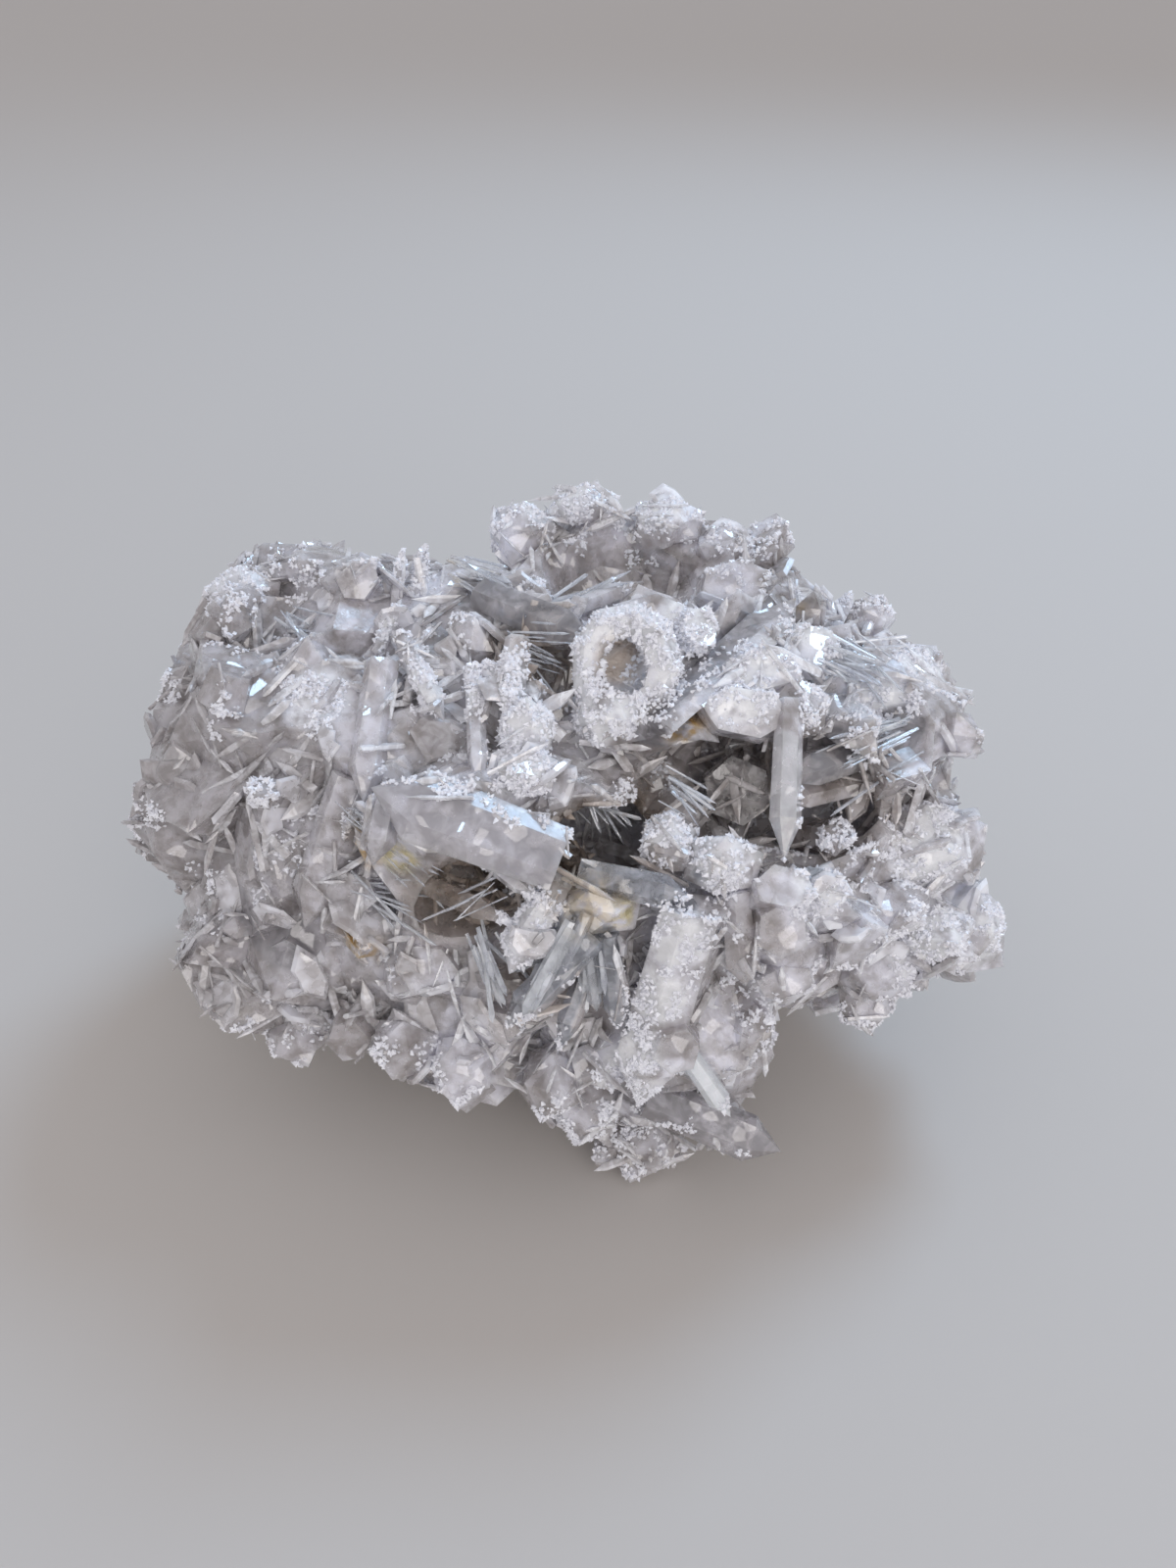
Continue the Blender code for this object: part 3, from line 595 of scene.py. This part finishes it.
def plates(rng, middles, facing, radii, thicknesses):
    """Corners and faces of flat crystals with bevelled rims and uneven outlines."""
    size = (len(middles), PLATE_SIDES)
    facing = unit(facing)
    along = unit(np.cross(facing, rng.normal(size=facing.shape)))
    across = np.cross(facing, along)
    turns = 2 * np.pi * np.arange(PLATE_SIDES)[None, :] / PLATE_SIDES + rng.uniform(-0.2, 0.2, size)
    ragged = rng.uniform(-PLATE_RAGGED_BY, PLATE_RAGGED_BY, size)
    outline = radii[:, None] * (1 + PLATE_LONGER_BY * np.cos(2 * turns) + ragged)
    rings = []
    for level, width in PLATE_RINGS:
        out = along[:, None, :] * (np.cos(turns) * outline * width)[:, :, None]
        out = out + across[:, None, :] * (np.sin(turns) * outline * width)[:, :, None]
        rings.append(middles[:, None, :] + out + (facing * (thicknesses * level)[:, None])[:, None, :])
    last = (len(PLATE_RINGS) - 1) * PLATE_SIDES
    faces = [list(range(PLATE_SIDES))[::-1]]
    faces += bands(PLATE_SIDES, len(PLATE_RINGS))
    faces += [list(range(last, last + PLATE_SIDES))]
    return np.concatenate(rings, axis=1), faces


def one_value_each(tree):
    """A random value from 0 to 1 for each crystal."""
    return tree.nodes.new("ShaderNodeNewGeometry").outputs["Random Per Island"]


def clear_to_milky(tree, shader, white, transmission, roughness):
    """See-through and smooth where white is 0, cloudy and frosted where it is 1."""
    tree.links.new(spread_over(tree, white, 0, 1, *transmission), shader.inputs["Transmission Weight"])
    tree.links.new(spread_over(tree, white, 0, 1, *roughness), shader.inputs["Roughness"])


def rippled_faces(tree, shader, place, facet_mm, tilt, grain_mm, detail, depth_mm):
    """Crystal faces that are stepped in facets and finely grained."""
    facets = crystal_facets(tree, place, facet_mm, tilt)
    skin = roughen(tree, noise(tree, place, grain_mm, detail), facets, depth_mm)
    tree.links.new(skin.outputs["Normal"], shader.inputs["Normal"])


rng = np.random.default_rng(PLATE_SEED)
spots, outward = spots_on_stone(rng, PLATE_COUNT)
bare = off_large_crystals(spots, PLATE_CLEARANCE) & (depth_in_hollows(spots) > PLATE_OFF_HOLLOWS)
spots = spots[bare]
outward = outward[bare]
radii = rng.uniform(*PLATE_RADII_MM, len(spots)) * MM
facing = lean_out(rng, outward, *PLATE_LEANS)
sunk = radii * (1 - np.abs((facing * outward).sum(axis=1))) * PLATE_SUNK
thicknesses = rng.uniform(*PLATE_THICKNESSES_MM, len(spots)) * MM
corners, faces = plates(rng, spots - outward * sunk[:, None], facing, radii, thicknesses)

plate_quartz, tree, shader, place = start_material("plate_quartz")
veils = spread_over(tree, noise(tree, place, PLATE_VEIL_MM, 4, distortion=0.4), 0.38, 0.62, 0, 0.45)
veils = combine(tree, "ADD", veils, combine(tree, "MULTIPLY", milkiness(tree, place), 0.4))
whiteness = combine(tree, "ADD", veils, spread_over(tree, one_value_each(tree), 0.4, 1, 0, 0.4))
body = blend_colours(tree, whiteness, PLATE_GREY, PLATE_WHITE)
# Painted shade: greyer towards the left end and dark inside the hollows.
body = darkened(tree, place, body, painted_hollow_shade(tree, place))
tree.links.new(stained(tree, place, body), shader.inputs["Base Color"])
clear_to_milky(tree, shader, whiteness, transmission=(0.65, 0.05), roughness=(0.1, 0.4))
rippled_faces(tree, shader, place, facet_mm=1.5, tilt=0.05, grain_mm=0.5, detail=3, depth_mm=0.02)
glow_within(shader, weight=0.5, reach_mm=0.4)
glints(tree, shader, place, size_mm=2.2, weight=1.0)
join_solids("tabular_crystals", corners, faces, plate_quartz, HIGHEST_MM)


# Free blades and prisms: flattened six-sided crystals with sloping points, clear as window glass, that lie
# across each other over the whole mass.
BLADE_SEED = 11
BLADE_COUNT = 7500
BLADE_LENGTHS_MM = (2.5, 8)
BLADE_WIDTHS = (0.07, 0.22)
BLADE_THICKNESSES = (0.3, 0.7)
BLADE_LEANS = (0, 30)
BLADE_POINTS = (0.12, 0.35)
BLADE_BURIED = 0.45
BLADE_CLEARANCE = 0.8
BLADE_PATCH_MM = 5
BLADE_PATCH_SEED = 8
BLADE_PATCHES_ABOVE = -0.1
TIP_SLIP = 0.35
PRISM_SIDES = 6
PRISM_TAPER = 0.86
BLADE_VEIL_MM = 1.2
BLADE_CLEAR = (0.78, 0.74, 0.73, 1)
BLADE_WHITE = (0.94, 0.95, 0.99, 1)


def prisms(rng, feet, along, lengths, widths, thicknesses, points):
    """Corners and faces of flattened prisms, each with a sloping point at its free end."""
    count = len(feet)
    along = unit(along)
    facing = unit(np.cross(along, rng.normal(size=along.shape)))
    across = np.cross(facing, along)
    shoulder = feet + along * (lengths * (1 - rng.uniform(*points, count)))[:, None]
    slip = rng.uniform(-TIP_SLIP, TIP_SLIP, (count, 2))
    apex = feet + along * lengths[:, None]
    apex += across * (slip[:, 0] * widths / 2)[:, None] + facing * (slip[:, 1] * thicknesses / 2)[:, None]
    rings = []
    for middle, size in ((feet, PRISM_TAPER), (shoulder, 1.0)):
        for turn in 2 * np.pi * np.arange(PRISM_SIDES) / PRISM_SIDES:
            out = across * (np.cos(turn) * widths * size / 2)[:, None]
            out = out + facing * (np.sin(turn) * thicknesses * size / 2)[:, None]
            rings.append(middle + out)
    faces = [list(range(PRISM_SIDES))[::-1]] + bands(PRISM_SIDES, 2)
    for side in range(PRISM_SIDES):
        faces.append([PRISM_SIDES + side, PRISM_SIDES + (side + 1) % PRISM_SIDES, 2 * PRISM_SIDES])
    return np.stack(rings + [apex], axis=1), faces


def patchy(spots, size_mm, seed):
    """A smooth random value, mostly from -1 to 1, at each spot, in lumps of about size_mm."""
    waves = np.random.default_rng(seed)
    value = np.zeros(len(spots))
    for _ in range(14):
        way = waves.normal(size=3)
        way *= 2 * np.pi / (np.linalg.norm(way) * size_mm * MM * waves.uniform(1.2, 3.2))
        value += np.sin(spots @ way + waves.uniform(0, 6.28))
    return value / 4


rng = np.random.default_rng(BLADE_SEED)
spots, outward = spots_on_stone(rng, BLADE_COUNT)
bare = patchy(spots, BLADE_PATCH_MM, BLADE_PATCH_SEED) > BLADE_PATCHES_ABOVE
bare &= off_large_crystals(spots, BLADE_CLEARANCE)
spots = spots[bare]
outward = outward[bare]
along = lean_out(rng, outward, *BLADE_LEANS)
lengths = rng.uniform(*BLADE_LENGTHS_MM, len(spots)) * MM
widths = lengths * rng.uniform(*BLADE_WIDTHS, len(spots))
thicknesses = widths * rng.uniform(*BLADE_THICKNESSES, len(spots))
feet = spots - along * (lengths * BLADE_BURIED)[:, None]
corners, faces = prisms(rng, feet, along, lengths, widths, thicknesses, BLADE_POINTS)

clear_quartz, tree, shader, place = start_material("clear_quartz")
veils = spread_over(tree, noise(tree, place, BLADE_VEIL_MM, 5, distortion=0.8), 0.4, 0.62, 0, 0.6)
veils = combine(tree, "ADD", veils, combine(tree, "MULTIPLY", milkiness(tree, place), 0.4))
whiteness = combine(tree, "ADD", veils, spread_over(tree, one_value_each(tree), 0.3, 1, 0, 0.3))
body = blend_colours(tree, whiteness, BLADE_CLEAR, BLADE_WHITE)
# Painted shade: greyer towards the left end and dark inside the hollows.
body = darkened(tree, place, body, painted_hollow_shade(tree, place))
tree.links.new(stained(tree, place, body), shader.inputs["Base Color"])
clear_to_milky(tree, shader, whiteness, transmission=(0.6, 0.1), roughness=(0.05, 0.3))
rippled_faces(tree, shader, place, facet_mm=1.2, tilt=0.06, grain_mm=0.35, detail=2, depth_mm=0.015)
glow_within(shader, weight=0.4, reach_mm=0.3)
shader.inputs["Coat Weight"].default_value = 1.0
shader.inputs["Coat Roughness"].default_value = 0.03
join_solids("free_blades", corners, faces, clear_quartz, HIGHEST_MM)


# Needle fans: sprays of thin clear needles and narrow prisms that bridge the hollows. Each fan starts in one
# place on a wall and opens towards the light.
NEEDLE_SEED = 31
NEEDLE_POINTS = (0.05, 0.2)
NEEDLE_WIDTHS = (0.45, 1.0)
NEEDLE_THICKNESSES = (0.6, 1)
ROOT_SCATTER_MM = 0.8
NEEDLE_CLEAR = (0.80, 0.83, 0.90, 1)
NEEDLE_WHITE = (0.93, 0.96, 1.0, 1)
NEEDLE_VEIL_MM = 1.5
NEEDLE_HIGHEST_MM = 9

# Root, aim, half angle in degrees, number of needles, shortest and longest, and greatest width, all in mm.
FANS = [
    ((-18, -19.5, 40.5), (-9.5, -25.5, 38), 32, 14, (5, 9), 0.34),
    ((-18.5, -20.5, 34), (-8, -27, 32), 38, 12, (5, 10), 0.38),
    ((-14, -22, 37), (-7, -27, 34), 30, 7, (4, 7), 0.3),
    ((-5, -26, 37), (-12, -26, 33), 30, 6, (4, 7), 0.34),
    ((32, -11.5, 44), (22, -17.5, 42.5), 16, 18, (5, 9), 0.45),
    ((30, -10, 39), (24, -16, 37), 26, 10, (4, 6), 0.5),
    ((-4.5, -6.5, 50.5), (3, -11.5, 50.5), 34, 14, (4, 7), 0.35),
    ((2.5, -27.5, 36), (-3, -32, 25), 26, 10, (6, 11), 1.9),
    ((3, -28, 35), (3.5, -31, 25), 16, 6, (6, 9), 1.6),
    ((-6, -27, 33), (-3, -31, 26), 26, 10, (4, 7), 0.6),
    ((27, -6, 50), (33, -8.5, 47), 34, 16, (4, 7), 0.5),
    ((24, -9, 51), (30, -12, 49), 34, 16, (3, 6), 0.5),
    ((10, -20, 44), (16, -22, 40), 30, 10, (3, 5), 0.45),
    ((3, -18, 41.5), (8, -22, 38), 34, 10, (3, 6), 0.4),
    ((-26, 0, 50), (-20, -4, 49), 34, 12, (3, 6), 0.45),
    ((-10, 2, 54), (-2, -3, 54), 24, 10, (4, 8), 0.6),
    ((0, 0, 51), (8, 5, 53), 24, 10, (5, 9), 0.7),
]


def fan_out(rng, fans):
    """Roots, directions, lengths and widths of the needles of all fans."""
    roots, ways, lengths, widths = [], [], [], []
    for root, aim, spread, count, reach, width in fans:
        main = np.array(aim, float) - np.array(root)
        main /= np.linalg.norm(main)
        aside = np.tan(np.radians(spread)) * unit(rng.normal(size=(count, 3))) * rng.random((count, 1))
        ways.append(main + aside)
        roots.append(np.array(root) + rng.normal(size=(count, 3)) * ROOT_SCATTER_MM)
        lengths.append(rng.uniform(*reach, count))
        widths.append(width * rng.uniform(*NEEDLE_WIDTHS, count))
    roots, ways, lengths, widths = (np.concatenate(parts) for parts in (roots, ways, lengths, widths))
    return roots * MM, unit(ways), lengths * MM, widths * MM


rng = np.random.default_rng(NEEDLE_SEED)
roots, ways, lengths, widths = fan_out(rng, FANS)
thicknesses = widths * rng.uniform(*NEEDLE_THICKNESSES, len(widths))
corners, faces = prisms(rng, roots, ways, lengths, widths, thicknesses, NEEDLE_POINTS)

needle_quartz, tree, shader, place = start_material("needle_quartz")
veils = noise(tree, place, NEEDLE_VEIL_MM, 4, stretch=(1, 1, 0.4))
veils = spread_over(tree, veils, 0.45, 0.65, 0, 0.7)
tint = blend_colours(tree, one_value_each(tree), NEEDLE_CLEAR, NEEDLE_WHITE)
tree.links.new(stained(tree, place, tint), shader.inputs["Base Color"])
clear_to_milky(tree, shader, veils, transmission=(0.7, 0.25), roughness=(0.04, 0.3))
glints(tree, shader, place, size_mm=2.0, weight=1.0)
join_solids("needle_fans", corners, faces, needle_quartz, NEEDLE_HIGHEST_MM)


# Sugary crust and frosted edges: a late growth of white quartz grains, in clumps along the edges and tips of
# the crystals, and thick as a rind on the ring, on the rounded lumps and on the big blade at the foot.
# The first spots may lie anywhere, and the rest only thicken the frosted places.
CRUST_SEED = 13
EDGE_SPOTS = 2400
FACE_SPOTS = 12000
SPOTS_ANYWHERE = 7600
SHARP_EDGE = 30
CRUST_PATCH_MM = 5
CRUST_PATCH_SEED = 3
EDGE_PATCHES_ABOVE = 0
FACE_PATCHES_ABOVE = 0.35
CRUST_CLEARANCE = 0.75
CRUST_OFF_HOLLOWS = 0.8
OPEN_REACH_MM = 5
OPEN_RAYS = 6
OPEN_ENOUGH = 0.5
GRAINS_IN_CLUMP = 13
CLUMP_MM = 0.42
GRAIN_WIDTHS_MM = (0.28, 0.68)
GRAIN_LEANS = (20, 90)
GRAIN_SUNK = 0.1
GRAIN_SIDES = 4
SUGAR_GREY = (0.87, 0.87, 0.92, 1)
SUGAR_WHITE = (0.93, 0.94, 0.98, 1)
CRUST_HIGHEST_MM = 1.0
CRUST_SPARE_MM = 0.8


def spots_on_edges(rng, count):
    """Random spots along the sharp convex edges of the stone, with the outward direction at each."""
    sides = np.concatenate([CORNERS[:, [0, 1]], CORNERS[:, [1, 2]], CORNERS[:, [2, 0]]])
    owner = np.tile(np.arange(len(CORNERS)), 3)
    keys = np.sort(sides, axis=1)
    order = np.lexsort((keys[:, 1], keys[:, 0]))
    keys = keys[order]
    owner = owner[order]
    same = (keys[1:] == keys[:-1]).all(axis=1)
    first = owner[:-1][same]
    second = owner[1:][same]
    ends = keys[:-1][same]
    middles = POINTS[CORNERS].mean(axis=1)
    convex = ((middles[second] - middles[first]) * OUTWARD[first]).sum(axis=1) < 0
    turn = np.degrees(np.arccos(np.clip((OUTWARD[first] * OUTWARD[second]).sum(axis=1), -1, 1)))
    good = convex & (turn > SHARP_EDGE)
    ends = ends[good]
    out = unit(OUTWARD[first[good]] + OUTWARD[second[good]])
    lengths = np.linalg.norm(POINTS[ends[:, 0]] - POINTS[ends[:, 1]], axis=1)
    chosen = rng.choice(len(ends), count, p=lengths / lengths.sum())
    share = rng.random(count)[:, None]
    return POINTS[ends[chosen, 0]] * (1 - share) + POINTS[ends[chosen, 1]] * share, out[chosen]


def openness(rng, spots, outward):
    """How much of the space before each spot is free of other crystals, from 0 in a gap to 1 in the open."""
    free = np.zeros(len(spots))
    starts = (spots + outward * (0.15 * MM)).tolist()
    reach = OPEN_REACH_MM * MM
    for _ in range(OPEN_RAYS):
        ways = unit(outward * 1.15 + unit(rng.normal(size=outward.shape))).tolist()
        free += np.array([SURFACE.ray_cast(start, way, reach)[0] is None for start, way in zip(starts, ways)])
    return free / OPEN_RAYS


def laid_on_stone(points):
    """The nearest place on the stone to each point, and the outward direction there."""
    found = [SURFACE.find_nearest(point)[:2] for point in points.tolist()]
    return np.array([spot for spot, _ in found]), np.array([normal for _, normal in found])


def grains(rng, middles, up, widths):
    """Corners and faces of small double pyramids."""
    count = len(middles)
    up = unit(up)
    along = unit(np.cross(up, rng.normal(size=up.shape)))
    across = np.cross(up, along)
    rings = []
    for side in range(GRAIN_SIDES):
        turn = 2 * np.pi * side / GRAIN_SIDES
        size = widths / 2 * rng.uniform(0.75, 1.15, count)
        out = along * (np.cos(turn) * size)[:, None] + across * (np.sin(turn) * size)[:, None]
        rings.append(middles + out + up * (rng.uniform(-0.15, 0.15, count) * widths)[:, None])
    top = middles + up * (widths * rng.uniform(0.5, 0.9, count))[:, None]
    bottom = middles - up * (widths * rng.uniform(0.5, 0.8, count))[:, None]
    faces = [[side, (side + 1) % GRAIN_SIDES, GRAIN_SIDES] for side in range(GRAIN_SIDES)]
    faces += [[(side + 1) % GRAIN_SIDES, side, GRAIN_SIDES + 1] for side in range(GRAIN_SIDES)]
    return np.stack(rings + [top, bottom], axis=1), faces


rng = np.random.default_rng(CRUST_SEED)
on_edges, edges_outward = spots_on_edges(rng, EDGE_SPOTS)
on_faces, faces_outward = spots_on_stone(rng, FACE_SPOTS)
spots = np.concatenate([on_edges, on_faces])
outward = np.concatenate([edges_outward, faces_outward])
number = np.arange(len(spots))
near_frost = np.zeros(len(spots), bool)
for middle, radius in FROSTED:
    near_frost |= np.linalg.norm(spots - np.array(middle) * MM, axis=1) < radius * MM
patches = patchy(spots, CRUST_PATCH_MM, CRUST_PATCH_SEED)
chosen = near_frost | (patches > np.where(number < EDGE_SPOTS, EDGE_PATCHES_ABOVE, FACE_PATCHES_ABOVE))
chosen &= near_frost | ((number <= SPOTS_ANYWHERE) & off_large_crystals(spots, CRUST_CLEARANCE))
chosen &= depth_in_hollows(spots) > CRUST_OFF_HOLLOWS
spots = spots[chosen]
outward = outward[chosen]
near_frost = near_frost[chosen]
chosen = (openness(rng, spots, outward) > OPEN_ENOUGH) | near_frost
rind = spots[chosen & near_frost]
edging = spots[chosen & ~near_frost]

sugar, tree, shader, place = start_material("sugary_quartz")
cloudy = spread_over(tree, noise(tree, place, 0.7, 3), 0.35, 0.7, 0, 1)
colour = blend_colours(tree, cloudy, SUGAR_GREY, SUGAR_WHITE)
tree.links.new(stained(tree, place, colour), shader.inputs["Base Color"])
clear_to_milky(tree, shader, cloudy, transmission=(0.15, 0), roughness=(0.08, 0.4))
facing = tree.nodes.new("ShaderNodeNewGeometry").outputs["Normal"]
skin = roughen(tree, noise(tree, place, 0.2, 2), facing, 0.02)
tree.links.new(skin.outputs["Normal"], shader.inputs["Normal"])
for name, clumps in (("sugary_crust", rind), ("frosted_edges", edging)):
    clumps = np.repeat(clumps, GRAINS_IN_CLUMP, axis=0)
    centres, outward = laid_on_stone(clumps + rng.normal(size=clumps.shape) * (CLUMP_MM * MM))
    widths = rng.uniform(*GRAIN_WIDTHS_MM, len(centres)) * MM
    sunk = outward * (GRAIN_SUNK * widths)[:, None]
    corners, faces = grains(rng, centres - sunk, lean_out(rng, outward, *GRAIN_LEANS), widths)
    join_solids(name, corners, faces, sugar, CRUST_HIGHEST_MM, CRUST_SPARE_MM)


# The studio: a pale plain floor, even pale light from all round, a cool soft light behind on the right and a
# warm one in front, and the camera at the angle of the picture, a hand's breadth from the stone.
FLOOR_COLOUR = (0.54, 0.51, 0.48, 1)
FLOOR_ROUGHNESS = 0.7
ALL_ROUND_COLOUR = (0.87, 0.86, 0.90, 1)
ALL_ROUND_STRENGTH = 0.71
COOL = (0.5, 0.73, 1.0)
WARM = (1.0, 0.95, 0.92)
LIT_SPOT = (0, 0, 0.03)
LENS_MM = 28
SENSOR_MM = 36
CAMERA_PLACE = (0.003, -0.107, 0.105)
CAMERA_TILT = 55

mesh = bpy.data.meshes.new("floor")
mesh.from_pydata([(-3, -1, 0), (3, -1, 0), (3, 4, 0), (-3, 4, 0)], [], [(0, 1, 2, 3)])
floor = bpy.data.objects.new("floor", mesh)
scene.collection.objects.link(floor)
floor_finish = bpy.data.materials.new("floor_finish")
floor_finish.use_nodes = True
floor_finish.node_tree.nodes["Principled BSDF"].inputs["Base Color"].default_value = FLOOR_COLOUR
floor_finish.node_tree.nodes["Principled BSDF"].inputs["Roughness"].default_value = FLOOR_ROUGHNESS
floor.data.materials.append(floor_finish)

world = bpy.data.worlds.new("studio")
scene.world = world
world.use_nodes = True
world.node_tree.nodes["Background"].inputs["Color"].default_value = ALL_ROUND_COLOUR
world.node_tree.nodes["Background"].inputs["Strength"].default_value = ALL_ROUND_STRENGTH


def soft_light(name, place_at, size, watts, colour):
    """A round soft light, in metres and watts, that points at the middle of the stone."""
    lamp = bpy.data.lights.new(name, "AREA")
    lamp.shape = "DISK"
    lamp.size = size
    lamp.energy = watts
    lamp.color = colour
    made = bpy.data.objects.new(name, lamp)
    made.location = place_at
    made.rotation_euler = (Vector(LIT_SPOT) - Vector(place_at)).to_track_quat("-Z", "Y").to_euler()
    scene.collection.objects.link(made)


soft_light("window", (0.3, 0.38, 0.65), 0.3, 2.6, COOL)
soft_light("room", (0.25, -0.78, 0.42), 0.7, 2.7, WARM)
scene.cycles.max_bounces = 16
scene.cycles.diffuse_bounces = 8
scene.cycles.transmission_bounces = 16

lens = bpy.data.cameras.new("camera")
lens.lens = LENS_MM
lens.sensor_width = SENSOR_MM
lens.clip_start = 0.005
camera = bpy.data.objects.new("camera", lens)
camera.location = CAMERA_PLACE
camera.rotation_euler = (math.radians(CAMERA_TILT), 0, 0)
scene.collection.objects.link(camera)
scene.camera = camera
scene.view_settings.view_transform = "Standard"
